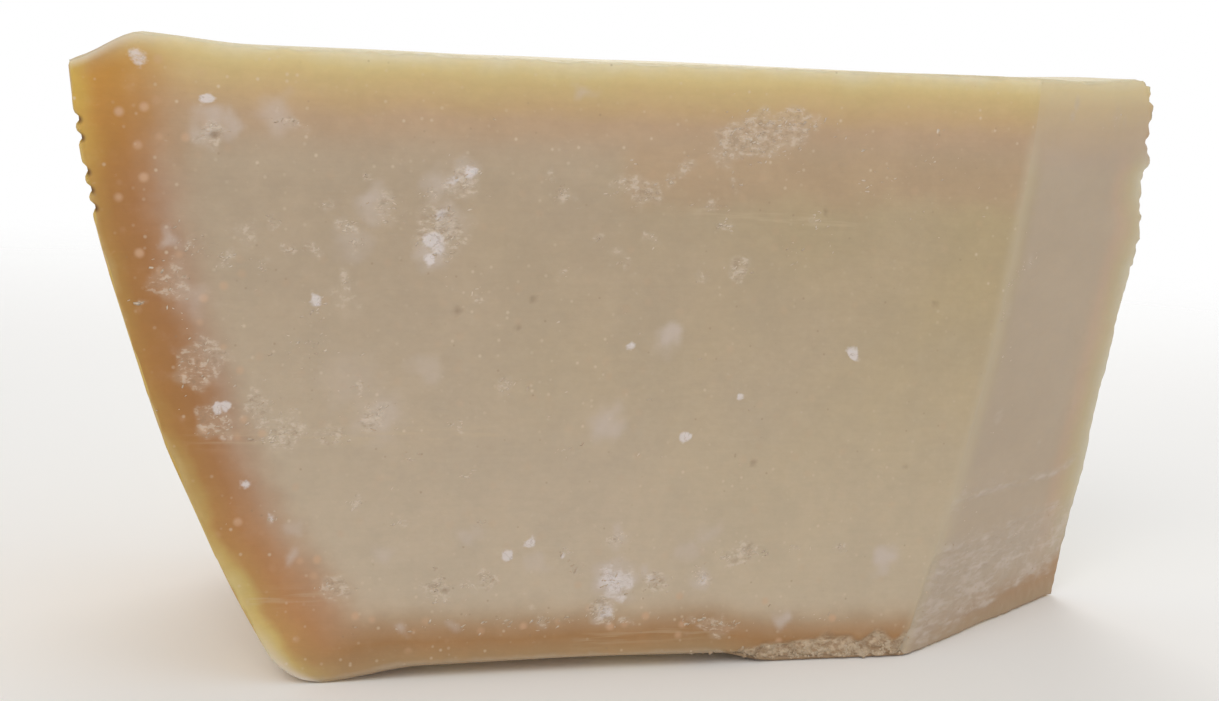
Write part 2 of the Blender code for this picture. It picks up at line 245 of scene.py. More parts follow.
marks = {
    "torn": [  # granular patches where the paste has torn
        (0.0635, 0.0800, 0.0046, 1.0), (0.0688, 0.0814, 0.0044, 1.0), (0.0594, 0.0784, 0.0040, 0.8),
        (0.0473, 0.0711, 0.0028, 0.9), (0.0524, 0.0751, 0.0020, 0.6), (0.0444, 0.0723, 0.0026, 0.7),
        (0.0592, 0.0668, 0.0018, 0.5), (0.0617, 0.0604, 0.0026, 0.8), (0.0350, 0.0706, 0.0016, 0.7),
        (0.0201, 0.0718, 0.0036, 0.7), (0.0180, 0.0650, 0.0052, 1.0), (0.0097, 0.0678, 0.0030, 0.8),
        (-0.0180, 0.0571, 0.0044, 0.6), (-0.0142, 0.0463, 0.0052, 0.9), (-0.0122, 0.0379, 0.0036, 0.9),
        (-0.0068, 0.0400, 0.0036, 0.8), (-0.0030, 0.0363, 0.0038, 0.8), (0.0035, 0.0363, 0.0028, 0.6),
        (0.0097, 0.0384, 0.0032, 0.9), (0.0046, 0.0138, 0.0028, 0.8), (0.0193, 0.0131, 0.0032, 0.9),
        (0.0264, 0.0145, 0.0020, 0.7), (0.0457, 0.0138, 0.0038, 0.8), (0.0440, 0.0091, 0.0028, 0.9),
        (0.0517, 0.0138, 0.0030, 0.7), (0.0592, 0.0136, 0.0024, 0.8), (0.0655, 0.0175, 0.0038, 0.8),
        (0.0617, 0.0064, 0.0036, 0.6), (-0.0085, 0.0639, 0.0032, 0.5), (-0.0132, 0.0773, 0.0022, 0.9),
        (-0.0028, 0.0787, 0.0020, 0.8), (0.0054, 0.0549, 0.0034, 0.4), (0.0456, 0.0203, 0.0018, 0.8),
    ] + [tornSpot(*cluster) for cluster in clusters if isCrowded(*cluster)],
    "clouds": [  # soft pale bloom under the surface
        (-0.0132, 0.0779, 0.0034, 0.60), (-0.0112, 0.0791, 0.0024, 0.55), (-0.0046, 0.0797, 0.0038, 0.50),
        (-0.0184, 0.0632, 0.0022, 0.55), (0.0085, 0.0685, 0.0032, 0.60), (0.0176, 0.0714, 0.0036, 0.50),
        (0.0206, 0.0728, 0.0030, 0.55), (0.0167, 0.0616, 0.0034, 0.60), (0.0190, 0.0660, 0.0034, 0.45),
        (0.0518, 0.0498, 0.0030, 0.70), (0.0430, 0.0374, 0.0038, 0.60), (0.0102, 0.0388, 0.0050, 0.45),
        (0.0114, 0.0186, 0.0025, 0.40), (0.0234, 0.0209, 0.0026, 0.40), (0.0339, 0.0164, 0.0024, 0.35),
        (0.0456, 0.0205, 0.0024, 0.55), (0.0567, 0.0182, 0.0026, 0.35), (0.0598, 0.0206, 0.0026, 0.30),
        (0.0723, 0.0066, 0.0022, 0.70), (0.0888, 0.0160, 0.0030, 0.75), (-0.0010, 0.0230, 0.0017, 0.35),
        (-0.0016, 0.0184, 0.0015, 0.50), (0.0144, 0.0080, 0.0015, 0.50), (0.0221, 0.0077, 0.0015, 0.40),
        (0.0457, 0.0140, 0.0046, 0.95), (0.0443, 0.0090, 0.0026, 0.60), (0.0513, 0.0140, 0.0022, 0.70),
        (0.0592, 0.0136, 0.0022, 0.55), (0.0054, 0.0629, 0.0036, 0.30), (0.0163, 0.0453, 0.0030, 0.30),
        (0.0371, 0.0848, 0.0018, 0.40), (-0.0151, 0.0548, 0.0036, 0.30), (0.0060, 0.0439, 0.0060, 0.18),
    ],
    "crystals": [  # hard white crystals that the knife has bared
        (-0.0137, 0.0817, 0.0015, 0.90), (-0.0118, 0.0400, 0.0011, 0.85), (-0.0104, 0.0403, 0.0010, 0.85),
        (-0.0082, 0.0290, 0.0011, 0.85), (0.0324, 0.0200, 0.0011, 0.95), (0.0291, 0.0180, 0.0013, 1.00),
        (0.0376, 0.0180, 0.0008, 0.70), (0.0807, 0.0482, 0.0012, 0.95), (0.0553, 0.0355, 0.0011, 0.90),
        (0.0458, 0.0492, 0.0010, 0.60), (0.0635, 0.0414, 0.0009, 0.60), (0.0167, 0.0638, 0.0019, 0.95),
        (0.0163, 0.0608, 0.0012, 0.70), (0.0217, 0.0731, 0.0013, 0.70), (-0.0225, 0.0866, 0.0016, 0.55),
        (0.0010, 0.0550, 0.0011, 0.75), (-0.0045, 0.0241, 0.0011, 0.55), (0.0453, 0.0146, 0.0024, 0.55),
        (0.0475, 0.0130, 0.0018, 0.50), (0.0467, 0.0110, 0.0012, 0.50), (0.0175, 0.0625, 0.0014, 0.70),
        (0.0178, 0.0670, 0.0012, 0.50), (0.0192, 0.0722, 0.0014, 0.50), (0.0457, 0.0136, 0.0036, 0.62),
        (0.0445, 0.0088, 0.0018, 0.50), (0.0510, 0.0138, 0.0012, 0.40), (0.0590, 0.0135, 0.0012, 0.45),
    ],
    "pits": [  # pinholes
        (0.0661, 0.0313, 0.0007, 0.6), (0.0934, 0.0558, 0.0007, 0.5), (0.0207, 0.0537, 0.0008, 0.6),
        (0.0314, 0.0555, 0.0007, 0.6), (0.0294, 0.0514, 0.0006, 0.5), (0.0908, 0.0305, 0.0006, 0.4),
        (0.0747, 0.0691, 0.0006, 0.5), (-0.0128, 0.0769, 0.0008, 0.7), (0.0181, 0.0672, 0.0008, 0.6),
        (0.0205, 0.0130, 0.0008, 0.6),
    ],
    "scores": [  # where the knife has skipped, as (u, z, u, z)
        (-0.0155, 0.0355, 0.0290, 0.0361), (-0.0078, 0.0123, 0.0030, 0.0129),
        (0.0400, 0.0045, 0.0660, 0.0061), (0.0530, 0.0687, 0.0800, 0.0675),
    ],
    # on the broken end, as (distance from the ridge, z, radius, strength)
    "endClouds": [
        (0.0009, 0.0227, 0.0030, 0.70), (-0.0020, 0.0380, 0.0020, 0.60), (0.0079, 0.0373, 0.0022, 0.40),
        (0.0267, 0.0305, 0.0012, 0.40), (0.0132, 0.0866, 0.0017, 0.80), (0.0120, 0.0846, 0.0014, 0.50),
        (0.0314, 0.0846, 0.0030, 0.35), (0.0350, 0.0838, 0.0018, 0.30), (0.0105, 0.0166, 0.0034, 0.55),
        (0.0259, 0.0165, 0.0028, 0.55), (0.0338, 0.0167, 0.0022, 0.50), (0.0158, 0.0258, 0.0026, 0.45),
        (0.0028, 0.0256, 0.0020, 0.50), (0.0015, 0.0549, 0.0022, 0.30), (0.0060, 0.0618, 0.0018, 0.35),
    ],
    "scoreWidth": 0.0011, "warp": 0.0009, "warpSize": 0.0024,
}

# Relief of the chunk's faces

relief = {
    "cutWave": 0.00035, "cutWaveSize": 0.028,
    "heelWave": 0.0003, "heelWaveSize": 0.015,
    "backCrags": 0.0007, "backCragSize": 0.016, "backGrainSize": 0.0055,
    "backFine": 0.00012, "backFineSize": 0.0018,
    "grain": 0.0009, "grainSize": 0.0034, "fineGrainSize": 0.0014,
    "smootherEnd": (0.011, 0.021),
    "crumb": 0.0011, "crumbSize": 0.0030, "crumbU": (0.054, 0.108), "crumbHeight": 0.0042,
    "crumbThickens": (0.052, 0.082),
    "torn": 0.00028, "tornSize": 0.0030, "tornGrainSize": 0.0013,
    "pit": 0.0003, "crystal": 0.00012,
    "edgeWear": 0.0006, "edgeWearSize": 0.004, "farWear": 0.0010, "farWearSize": 0.0014,
    "farWearUp": (0.050, 0.064), "farReach": 0.0018,
    "ridgeWorn": 0.0026, "ridgeFall": 0.0004,  # how far in and how deep the ridge is worn round
    "nicks": (0.0783, 0.0759, 0.0717, 0.0691, 0.0668), "nickDepth": 0.0007, "nickHeight": 0.00055,
    "nickReach": (0.006, 0.011),  # nicks in the heel's front rim fade over this arc
    "crackHeights": (0.0247, 0.0168), "crackWander": 0.0018, "crackWanderSize": 0.010,
    "crackWidth": 0.0008, "crackLip": 0.0002,
}

pins = {  # plain blocks of dots pressed into the heel
    "pitchZ": 0.00233, "pitchArc": 0.0026, "radius": 0.00085, "depth": 0.0009,
    "bands": [(0.0759, 2, 0.0002), (0.0668, 3, 0.0002), (0.0437, 6, 0.0040), (0.0206, 6, 0.0034)],
    "marked": 5, "block": 7,  # marked columns of each block's columns
    "below": 0.0015,  # fine cells start this far under a band
}


def pinMark(arc, z):
    deepest = 0.0
    for foot, rows, shift in pins["bands"]:
        row = round((z - foot) / pins["pitchZ"])
        column = round((arc - shift) / pins["pitchArc"])
        if not 0 <= row < rows or column % pins["block"] >= pins["marked"]:
            continue
        away = math.hypot(z - foot - row * pins["pitchZ"], arc - shift - column * pins["pitchArc"])
        deepest = max(deepest, 1.0 - smoothStep(0.25 * pins["radius"], 1.25 * pins["radius"], away))
    return deepest


def warped(point, seed):  # moves a place a little, to make outlines ragged
    place = point / marks["warpSize"] + Vector((seed, seed, 0.0))
    return (point.x + marks["warp"] * 2.0 * noise.noise(place),
            point.z + marks["warp"] * 2.0 * noise.noise(place + Vector((7.7, 0.0, 3.1))))


def tornAt(point):
    return spotsAt(marks["torn"], *warped(point, 1.0), 0.25)


def scoredAt(u, z):
    most = 0.0
    for startU, startZ, endU, endZ in marks["scores"]:
        share = (u - startU) / (endU - startU)
        if -0.1 < share < 1.1:
            away = abs(z - startZ - (endZ - startZ) * share) / marks["scoreWidth"]
            ends = smoothStep(-0.05, 0.1, share) * (1.0 - smoothStep(0.9, 1.05, share))
            most = max(most, ends * math.exp(-away * away))
    return most


def crumbledAt(u, z):  # the crumbled stretch along the foot
    low, high = relief["crumbU"]
    height = relief["crumbHeight"] * (0.25 + 0.75 * smoothStep(*relief["crumbThickens"], u))
    height *= 1.0 + 0.45 * noise.noise(Vector((u, 0.0, z)) / relief["crumbSize"])
    return min(1.0, 3.0 * hill(low, high, u)) * (1.0 - smoothStep(0.7 * height, height, z))


def crackAt(point):  # nearness to a crack of the broken end
    wander = relief["crackWander"] * noise.noise(point / relief["crackWanderSize"])
    away = min(abs(point.z - height - wander) for height in relief["crackHeights"])
    return math.exp(-(away / relief["crackWidth"]) ** 2)


def frontRelief(point):
    wave = relief["cutWave"] * noise.noise(point / relief["cutWaveSize"])
    crags = 0.6 * ridged(point, relief["tornSize"], 3.0) + 0.6 * grains(point, relief["tornGrainSize"], 4.0)
    flakes = tornAt(point) * relief["torn"] * (crags - 0.65)
    pit = relief["pit"] * spotsAt(marks["pits"], point.x, point.z, 0.2)
    crystal = relief["crystal"] * spotsAt(marks["crystals"], point.x, point.z, 0.4)
    crumbs = grains(point, relief["crumbSize"], 5.0) + 0.4 * grains(point, relief["fineGrainSize"], 6.0)
    crumbs = crumbledAt(point.x, point.z) * relief["crumb"] * (crumbs - 0.9)
    return wave + flakes + crystal - pit + crumbs


def endRelief(point, across):
    coarser = 1.0 - 0.85 * smoothStep(*relief["smootherEnd"], point.z)
    coarse = grains(point, relief["grainSize"], 1.0) + 0.35 * grains(point, relief["fineGrainSize"], 2.0)
    wave = relief["cutWave"] * noise.noise(point / relief["heelWaveSize"])
    lip = relief["crackLip"] * crackAt(point) * (1.0 - smoothStep(0.75, 0.95, across))
    return wave + 0.35 * relief["grain"] * coarser * (coarse - 0.62) + lip


def backRelief(point):
    crags = ridged(point, relief["backCragSize"], 7.0) - 0.5
    finer = ridged(point, relief["backGrainSize"], 8.0) - 0.5
    fine = relief["backFine"] * grains(point, relief["backFineSize"], 9.0)
    return relief["backCrags"] * (crags + 0.4 * finer) + fine


def nickAt(arc, z):
    away = min(abs(z - height) for height in relief["nicks"]) / relief["nickHeight"]
    return math.exp(-away * away) * (1.0 - smoothStep(*relief["nickReach"], arc))


def heelRelief(point, across):
    arc = across * chunk["wedgeAngle"] * heelRadius(point.z)
    wave = relief["heelWave"] * noise.noise(point / relief["heelWaveSize"])
    marked = pins["depth"] * pinMark(arc, point.z)
    return wave - max(marked, relief["nickDepth"] * nickAt(arc, point.z))


def reliefAt(point, along, across, up):
    found = []
    if across == 0.0:
        found.append(frontRelief(point))
    if across == 1.0:
        found.append(backRelief(point))
    if along == 0.0:
        found.append(heelRelief(point, across))
    if along == 1.0:
        found.append(endRelief(point, across))
    if up == 1.0:
        found.append(relief["cutWave"] * noise.noise(point / relief["cutWaveSize"]))
    standsOut = min(found, default=0.0)
    if len(found) > 1 and (along < 1.0 or up == 1.0):
        standsOut -= relief["edgeWear"] * (0.35 + abs(noise.noise(point / relief["edgeWearSize"])))
    if along == 1.0 or across == 1.0:
        span = chunk["endWidth"] * (1.0 - across) if along == 1.0 else chunk["cutLength"] * (1.0 - along)
        ragged = 0.2 + 0.8 * smoothStep(*relief["farWearUp"], point.z)
        ragged *= noise.noise(point / relief["farWearSize"])
        standsOut -= relief["farWear"] * ragged * max(0.0, 1.0 - span / relief["farReach"]) ** 2
    if found and (across == 0.0 or along == 1.0):
        fromRidge = math.dist(point[:2], endPoint(0.0, point.z)[:])
        standsOut -= relief["ridgeFall"] * max(0.0, 1.0 - fromRidge / relief["ridgeWorn"]) ** 2
    return standsOut


def unitBlock(cells):  # a unit cube with a grid on each face
    block = bmesh.new()
    bmesh.ops.create_cube(block, size=1.0)
    bmesh.ops.translate(block, verts=block.verts, vec=(0.5, 0.5, 0.5))
    for axis, count in enumerate(cells):
        edges = [edge for edge in block.edges
                 if abs((edge.verts[0].co - edge.verts[1].co).normalized()[axis]) > 0.99]
        bmesh.ops.subdivide_edges(block, edges=edges, cuts=count - 1, use_grid_fill=True)
    return block


def wantsFineCells(place):  # both cut faces, and the heel where it is marked
    along, across, up = place
    if along < 0.0001:
        z = chunkPoint(*place).z
        return any(-pins["below"] < z - foot < rows * pins["pitchZ"] for foot, rows, shift in pins["bands"])
    return across < 0.0001 or along > 0.9999


faceMaterials = {"cut": 0, "end": 1, "rind": 2}


def faceKind(place):
    along, across, up = place
    return "cut" if across < 0.0001 else "end" if along > 0.9999 else "rind"


def factsAt(point, along, across, up):  # what the materials read at each corner
    span = (chunkPoint(along, 1.0, up) - chunkPoint(along, 0.0, up)).length
    patch = Vector((0.45 * point.x, 0.45 * point.y, point.z)) if along == 1.0 else point
    facts = {
        "heelDepth": heelRadius(point.z) - math.dist(point[:2], (chunk["wheelAxisU"], 0.0)),
        "footDepth": point.z - footHeight(*point[:2]),
        "topDepth": topHeight(*point[:2]) - point.z,
        "backDepth": (1.0 - across) * span,
        "ridgeDepth": math.dist(point[:2], endPoint(0.0, point.z)[:]),
        "arc": across * chunk["wedgeAngle"] * heelRadius(point.z),
        "onHeel": float(along == 0.0), "onFoot": float(up == 0.0),
        "drift": 0.5 + 0.4 * clouded(patch, 0.009, 4), "broad": 0.5 + 0.5 * clouded(patch, 0.034, 2),
        "torn": 0.0, "cloud": 0.0, "crystal": 0.0, "pit": 0.0, "scored": 0.0, "crumbled": 0.0,
        "share": across, "crack": crackAt(point) if along == 1.0 else 0.0,
    }
    if across == 0.0:
        ragged = warped(point, 2.0)
        facts["torn"] = tornAt(point)
        facts["cloud"] = spotsAt(marks["clouds"], *ragged, 0.15)
        halfway = 0.5 * (point.x + ragged[0]), 0.5 * (point.z + ragged[1])
        facts["crystal"] = spotsAt(marks["crystals"], *halfway, 0.3)
        facts["pit"] = spotsAt(marks["pits"], point.x, point.z, 0.2)
        facts["scored"] = scoredAt(point.x, point.z)
        facts["crumbled"] = crumbledAt(point.x, point.z)
    elif up == 0.0:
        facts["crumbled"] = crumbledAt(point.x, 0.0) * (1.0 - smoothStep(0.0, 0.2, across))
    elif along == 1.0:
        facts["cloud"] = spotsAt(marks["endClouds"], across * chunk["endWidth"], point.z, 0.1)
    return facts


def makeChunk():
    block = unitBlock(chunk["cells"])
    fine = [face for face in block.faces if wantsFineCells(face.calc_center_median())]
    edges = list({edge for face in fine for edge in face.edges})
    bmesh.ops.subdivide_edges(block, edges=edges, cuts=1, use_grid_fill=True)
    for face in block.faces:
        face.material_index = faceMaterials[faceKind(face.calc_center_median())]
    places = {vertex: tuple(round(value, 6) for value in vertex.co) for vertex in block.verts}
    for vertex, place in places.items():
        vertex.co = chunkPoint(*place)
    block.normal_update()
    facts = [factsAt(vertex.co, *place) for vertex, place in places.items()]
    moved = {vertex: vertex.co + vertex.normal * reliefAt(vertex.co, *place)
             for vertex, place in places.items()}
    origin = Vector((chunk["originU"], chunk["originV"], 0.0))
    for vertex, point in moved.items():
        vertex.co = point - origin
        vertex.co.z = max(0.0, vertex.co.z)
    bmesh.ops.triangulate(block, faces=block.faces)
    block.normal_update()
    tree = BVHTree.FromBMesh(block)
    mesh = bpy.data.meshes.new("cheeseBody")
    block.to_mesh(mesh)
    block.free()
    for name in facts[0]:
        values = [corner[name] for corner in facts]
        mesh.attributes.new(name, "FLOAT", "POINT").data.foreach_set("value", values)
    mesh.shade_smooth()
    body = bpy.data.objects.new("cheeseBody", mesh)
    bpy.context.scene.collection.objects.link(body)
    print("cheese body has", len(mesh.polygons), "triangles")
    return body, tree


# Materials: a wire carries one value or colour, and the bench adds the nodes

class Wire:
    def __init__(self, bench, socket):
        self.bench = bench
        self.socket = socket

    def output(self, name):  # another output of the same node
        return Wire(self.bench, self.socket.node.outputs[name])

    def reckon(self, operation, first, second):
        return self.bench.add("ShaderNodeMath", {"operation": operation}, {0: first, 1: second})

    def __add__(self, other):
        return self.reckon("ADD", self, other)

    def __radd__(self, other):
        return self.reckon("ADD", other, self)

    def __sub__(self, other):
        return self.reckon("SUBTRACT", self, other)

    def __rsub__(self, other):
        return self.reckon("SUBTRACT", other, self)

    def __mul__(self, other):
        return self.reckon("MULTIPLY", self, other)

    def __rmul__(self, other):
        return self.reckon("MULTIPLY", other, self)

    def __truediv__(self, other):
        return self.reckon("DIVIDE", self, other)


def screen(red, green, blue):  # a colour as a screen shows it, 0 to 255
    parts = (value / 255.0 for value in (red, green, blue))
    return tuple(((p + 0.055) / 1.055) ** 2.4 if p > 0.04045 else p / 12.92 for p in parts) + (1.0,)


class Bench:
    def __init__(self, tree):
        self.tree = tree
        self.tree.nodes.clear()

    def add(self, kind, settings, sockets, out=0):
        node = self.tree.nodes.new(kind)
        for name, value in settings.items():
            if name == "stops":
                self.setStops(node.color_ramp, value)
            else:
                setattr(node, name, value)
        for name, value in sockets.items():
            if isinstance(value, Wire):
                self.tree.links.new(value.socket, node.inputs[name])
            else:
                node.inputs[name].default_value = value
        return Wire(self, node.outputs[out]) if node.outputs else None

    def setStops(self, ramp, stops):
        while len(ramp.elements) < len(stops):
            ramp.elements.new(1.0)
        for element, (position, colour) in zip(ramp.elements, stops):
            element.position = position
            element.color = screen(*colour)

    def fact(self, name):  # a value kept on the mesh
        return self.add("ShaderNodeAttribute", {"attribute_name": name}, {}, "Fac")

    def mix(self, factor, first, second, blend="MIX"):
        settings = {"data_type": "RGBA", "blend_type": blend}
        return self.add("ShaderNodeMix", settings, {0: factor, 6: first, 7: second}, 2)

    def fade(self, value, start, end):  # 0 at start, 1 at end, smoothly
        sockets = {"Value": value, "From Min": start, "From Max": end}
        return self.add("ShaderNodeMapRange", {"interpolation_type": "SMOOTHSTEP"}, sockets)

    def near(self, value, reach):  # 1 at nothing, 0 at the reach
        return 1.0 - self.fade(value, 0.0, reach)

    def most(self, first, second):
        return first.reckon("MAXIMUM", first, second)

    def ramp(self, value, stops):
        return self.add("ShaderNodeValToRGB", {"stops": stops}, {"Fac": value})

    def noise(self, where, size, detail=2.0, roughness=0.55):
        sockets = {"Vector": where, "Scale": 1.0 / size, "Detail": detail, "Roughness": roughness}
        return self.add("ShaderNodeTexNoise", {}, sockets, "Fac")

    def specks(self, where, size, edge, picked):  # dots in some of the cells of a pattern
        cells = self.add("ShaderNodeTexVoronoi", {}, {"Vector": where, "Scale": 1.0 / size}, "Distance")
        pick = self.add("ShaderNodeSeparateColor", {}, {0: cells.output("Color")})
        return (1.0 - self.fade(cells, *edge)) * self.fade(pick, *picked)

    def axis(self, where, name):  # one of X, Y and Z
        return self.add("ShaderNodeSeparateXYZ", {}, {0: where}, name)

    def stretched(self, where, sizes):  # repeats a pattern at other sizes along X, Y, Z
        return self.add("ShaderNodeVectorMath", {"operation": "MULTIPLY"}, {0: where, 1: sizes})

    def bumped(self, height):
        return self.add("ShaderNodeBump", {}, {"Strength": 1.0, "Distance": 1.0, "Height": height})


def newMaterial(name, build, *choices):
    material = bpy.data.materials.new(name)
    material.use_nodes = True
    bench = Bench(material.node_tree)
    where = bench.add("ShaderNodeTexCoord", {}, {}, "Object")
    shader = bench.add("ShaderNodeBsdfPrincipled", {}, build(bench, where, *choices))
    bench.add("ShaderNodeOutputMaterial", {}, {"Surface": shader})
    return material


cheese = {
    # the paste, towards the heel, towards the tip and low down
    "pasteHeel": (171, 152, 128), "pasteTip": (170, 151, 116), "pasteLow": (190, 174, 152),
    "pasteEnd": (173, 154, 132),
    # from the rind inwards, as (share of the reach, colour)
    "heelStops": [(0.00, (176, 142, 84)), (0.06, (164, 122, 60)), (0.17, (158, 110, 55)),
                  (0.35, (156, 108, 62)), (0.48, (160, 118, 82)), (0.60, (165, 132, 106)),
                  (0.85, (169, 144, 120))],
    "lowHeelStops": [(0.00, (206, 187, 127)), (0.10, (198, 173, 105)), (0.19, (180, 138, 82)),
                     (0.35, (177, 129, 84)), (0.50, (177, 136, 101)), (0.68, (176, 142, 111)),
                     (0.90, (179, 152, 125))],
    "footStops": [(0.00, (166, 140, 110)), (0.06, (160, 130, 92)), (0.30, (158, 118, 75)),
                  (0.45, (165, 131, 96)), (0.62, (172, 147, 118)), (0.90, (186, 166, 142))],
    "topStops": [(0.00, (216, 204, 172)), (0.09, (206, 188, 140)), (0.15, (201, 179, 125)),
                 (0.22, (194, 169, 117)), (0.41, (185, 156, 114)), (0.55, (178, 150, 119)),
                 (0.80, (173, 149, 123))],
    "endTopStops": [(0.00, (210, 196, 160)), (0.12, (202, 182, 137)), (0.28, (190, 166, 127)),
                    (0.50, (181, 157, 126)), (0.80, (175, 153, 130))],
    "skinStops": [(0.00, (218, 204, 166)), (0.30, (214, 197, 154)), (0.80, (214, 198, 157))],
    "backStops": [(0.00, (196, 186, 160)), (0.15, (187, 172, 140)), (0.27, (182, 164, 129)),
                  (0.42, (181, 158, 127)), (0.60, (180, 155, 129)), (0.80, (175, 154, 129))],
    "heelReach": 0.0087, "footReach": 0.0060, "topReach": 0.016, "backReach": 0.017,
    "endFootReach": 0.0046, "skinReach": 0.010,
    "pasteGlow": (0.15, 0.0018), "rindGlow": (0.08, 0.0015),  # how much and how far light goes in
    "wander": 0.0030,  # how far the zones' edges wander
    "heelWidens": 0.032, "lowHeel": 0.045,  # heights up to which the heel's zone is wider or paler
    "underTop": 0.013, "cornerReach": 0.024, "cornerTop": (-0.0010, 0.0042),
    "pinkTop": (0.009, 0.014), "pinkFoot": (0.0165, 0.0220), "pinkStart": (-0.0150, -0.0105),
    "pinkBand": (173, 146, 116), "cornerGold": (184, 130, 46), "cornerYellow": (196, 164, 76),
    "cloud": (194, 180, 170), "crystal": (212, 203, 200), "speckle": (198, 160, 128),
    "fleck": (208, 190, 166), "grit": (210, 194, 176), "tornHalo": (190, 173, 154),
    # shadow and pit are painted shade: shadow in tiny pits, in the gaps of torn grit and in crystal seams,
    # pit inside the pinholes
    "shadow": (140, 116, 90), "pit": (112, 88, 62), "score": (190, 170, 140),
    "frost": (177, 161, 144), "frostGrain": (200, 186, 174),
    # the ridge colour is a painted highlight along the worn ridge
    "footLining": (170, 152, 128), "ridgeHighlight": (186, 171, 145),
    # the crumb colours are painted light and shade: lit tan grain tops and shaded gaps
    "crumbTanAndHighlight": (198, 178, 152), "crumbGapShade": (154, 128, 100), "rimPale": (208, 197, 188),
    "rindAmber": (190, 148, 84), "rindGold": (205, 172, 108), "rindBrown": (152, 108, 62),
    # the pin colour is the rind's brown with painted shade in the pin dents
    "pinBrownAndShade": (84, 52, 28), "skinYellow": (221, 206, 166), "skinTan": (212, 193, 152),
    "chipPale": (214, 204, 184),
}


grainSizes = {
    "grit": 0.00105, "endGrit": 0.0010, "lumps": 0.0024, "mottle": 0.0030, "streaks": 0.0090,
    "specks": 0.0027, "flecks": 0.0013, "skinSpecks": 0.0030, "skinFine": 0.0026,
}


def tint(name):
    return screen(*cheese[name])


def waxy(bench, colour, rough, height, glow):  # light goes a little way in
    weight, reach = cheese[glow]
    return {"Base Color": colour, "Roughness": rough, "Normal": bench.bumped(height), "IOR": 1.45,
            "Subsurface Weight": weight, "Subsurface Radius": (1.0, 0.6, 0.35), "Subsurface Scale": reach}


def zoneColours(bench, colour, topStops, topReach, footReach):  # what rinds and skins give the paste
    drift = (bench.fact("drift") - 0.5) * cheese["wander"]
    deep = (bench.fact("topDepth") + drift * 0.6) / topReach
    top = bench.mix(1.0 - bench.fade(deep, 0.6, 1.0), colour, bench.ramp(deep, topStops))
    heelReach = cheese["heelReach"] * (1.0 + 0.50 * bench.near(bench.fact("footDepth"), cheese["heelWidens"]))
    fromHeel = (bench.fact("heelDepth") + drift) / heelReach
    fromFoot = (bench.fact("footDepth") + drift * 0.4) / footReach
    deep = bench.add("ShaderNodeMath", {"operation": "SMOOTH_MIN"}, {0: fromHeel, 1: fromFoot, 2: 0.5})
    lower = bench.near(bench.fact("footDepth") + drift * 2.0, cheese["lowHeel"])
    heelZone = bench.mix(lower, bench.ramp(deep / 1.8, cheese["heelStops"]),
                         bench.ramp(deep / 1.8, cheese["lowHeelStops"]))
    zone = bench.mix(bench.fade(fromFoot - fromHeel, -0.6, 0.6), bench.ramp(deep / 1.8, cheese["footStops"]),
                     heelZone)
    amber = 1.0 - bench.fade(deep, 0.9, 1.8)
    underTop = bench.near(bench.fact("topDepth") + drift, cheese["underTop"])
    underTop = underTop * (0.35 + 0.65 * bench.fade(deep, 0.3, 1.0))
    colour = bench.mix(amber * (1.0 - underTop), top, zone)
    upper = bench.near(bench.fact("topDepth") + drift, cheese["cornerReach"])
    golden = (1.0 - bench.fade(fromHeel, 0.5, 2.0)) * upper
    golden = golden * bench.fade(bench.fact("topDepth"), *cheese["cornerTop"])
    colour = bench.mix(golden * 0.88, colour, tint("cornerGold"))
    outer = (1.0 - bench.fade(deep, 0.0, 0.42)) * upper
    return bench.mix(outer * 0.8, colour, tint("cornerYellow")), deep


def pasteColour(bench, where):
    broad, drift = bench.fact("broad"), bench.fact("drift")
    x = bench.axis(where, "X")
    tipwards = bench.fade(x + (broad - 0.5) * 0.05, -0.04, 0.05)
    low = bench.near(x.output("Z") + (drift - 0.5) * 0.012, 0.072)
    colour = bench.mix(tipwards, tint("pasteHeel"), tint("pasteTip"))
    return bench.mix(low * 0.8, colour, tint("pasteLow"))


def tinted(bench, colour, value, reach):  # a little darker and lighter with the value
    dark, light = (1.0 - reach,) * 3 + (1.0,), (1.0 + reach,) * 3 + (1.0,)
    return bench.mix(1.0, colour, bench.mix(bench.fade(value, 0.25, 0.75), dark, light), "MULTIPLY")


